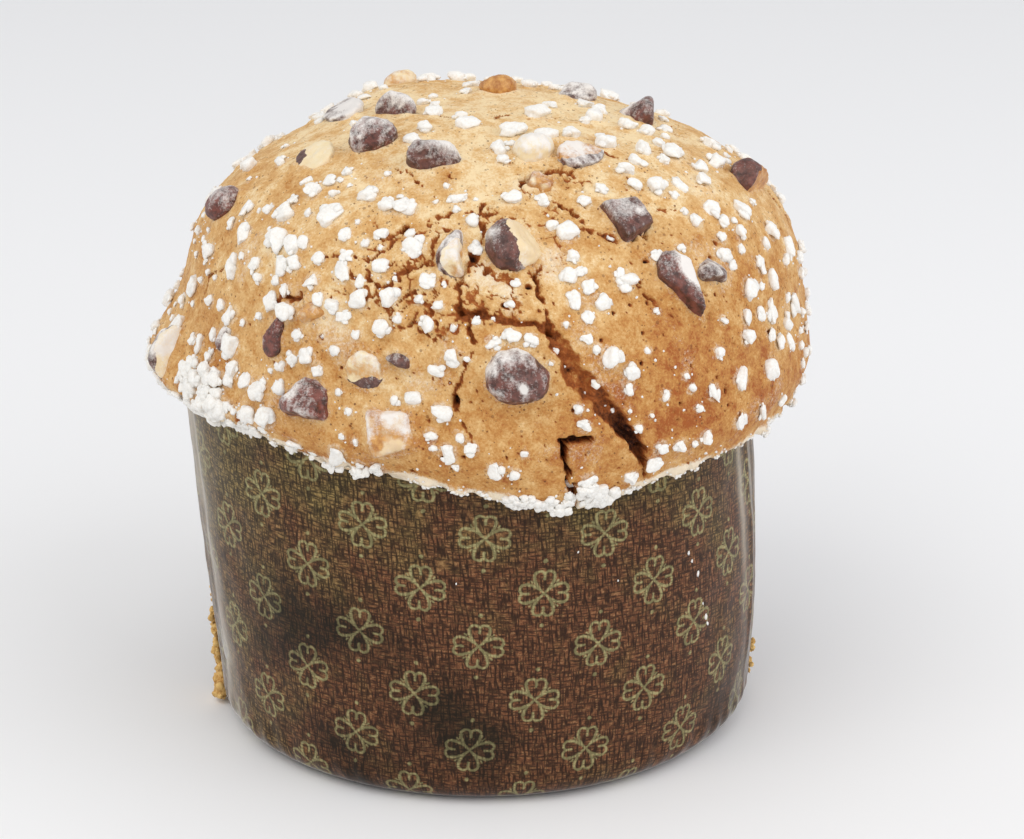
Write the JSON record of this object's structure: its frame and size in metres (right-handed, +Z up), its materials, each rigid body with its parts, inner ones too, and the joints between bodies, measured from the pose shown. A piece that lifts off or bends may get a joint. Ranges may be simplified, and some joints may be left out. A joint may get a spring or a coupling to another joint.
{
  "type": "panettone",
  "caption": "Tall domed sweet loaf baked in a round printed paper case, its glazed crust set with pieces of hazelnut.",
  "frame": {"origin": "centre of the paper case's base, on the surface it stands on", "axes": "+Z up, -Y towards the front of the loaf, +X to the right as seen from the front"},
  "size_m": [0.1642, 0.1625, 0.1616],
  "materials": {
    "crust": "baked nut glaze, golden tan and matte, cracked and pitted, with white pearl sugar baked on",
    "paper": "dark brown baking paper with a satin face, printed with an olive gold flower on a woven ground",
    "hazelnut_skin": "dry papery nut skin, dark brown to purple brown, dusted with sugar",
    "hazelnut_part_skinned": "broken nut, cream flesh with part of its brown skin left",
    "hazelnut_flesh": "bare cream nut flesh, lightly toasted"
  },
  "bodies": {
    "root": {"hazelnut_dark_03": "hazelnut_skin", "hazelnut_dark_04": "hazelnut_skin", "hazelnut_dark_05": "hazelnut_skin", "hazelnut_dark_06": "hazelnut_skin", "hazelnut_dark_07": "hazelnut_skin", "hazelnut_dark_08": "hazelnut_skin", "hazelnut_dark_14": "hazelnut_skin", "hazelnut_dark_17": "hazelnut_skin", "hazelnut_dark_18": "hazelnut_skin", "hazelnut_dark_19": "hazelnut_skin", "hazelnut_dark_20": "hazelnut_skin", "hazelnut_dark_21": "hazelnut_skin", "hazelnut_dark_23": "hazelnut_skin", "hazelnut_dark_26": "hazelnut_skin", "hazelnut_dark_28": "hazelnut_skin", "hazelnut_dark_29": "hazelnut_skin", "hazelnut_dark_32": "hazelnut_skin", "hazelnut_dark_35": "hazelnut_skin", "hazelnut_dark_38": "hazelnut_skin", "hazelnut_mixed_09": "hazelnut_part_skinned", "hazelnut_mixed_11": "hazelnut_part_skinned", "hazelnut_mixed_13": "hazelnut_part_skinned", "hazelnut_mixed_15": "hazelnut_part_skinned", "hazelnut_mixed_16": "hazelnut_part_skinned", "hazelnut_mixed_22": "hazelnut_part_skinned", "hazelnut_mixed_25": "hazelnut_part_skinned", "hazelnut_mixed_27": "hazelnut_part_skinned", "hazelnut_mixed_30": "hazelnut_part_skinned", "hazelnut_mixed_31": "hazelnut_part_skinned", "hazelnut_mixed_34": "hazelnut_part_skinned", "hazelnut_mixed_36": "hazelnut_part_skinned", "hazelnut_mixed_37": "hazelnut_part_skinned", "hazelnut_pale_01": "hazelnut_flesh", "hazelnut_pale_02": "hazelnut_flesh", "hazelnut_pale_10": "hazelnut_flesh", "hazelnut_pale_12": "hazelnut_flesh", "hazelnut_pale_24": "hazelnut_flesh", "hazelnut_pale_33": "hazelnut_flesh", "hazelnut_pale_39": "hazelnut_flesh", "loaf": "crust", "paper_case": "paper"}
  },
  "joints": []
}
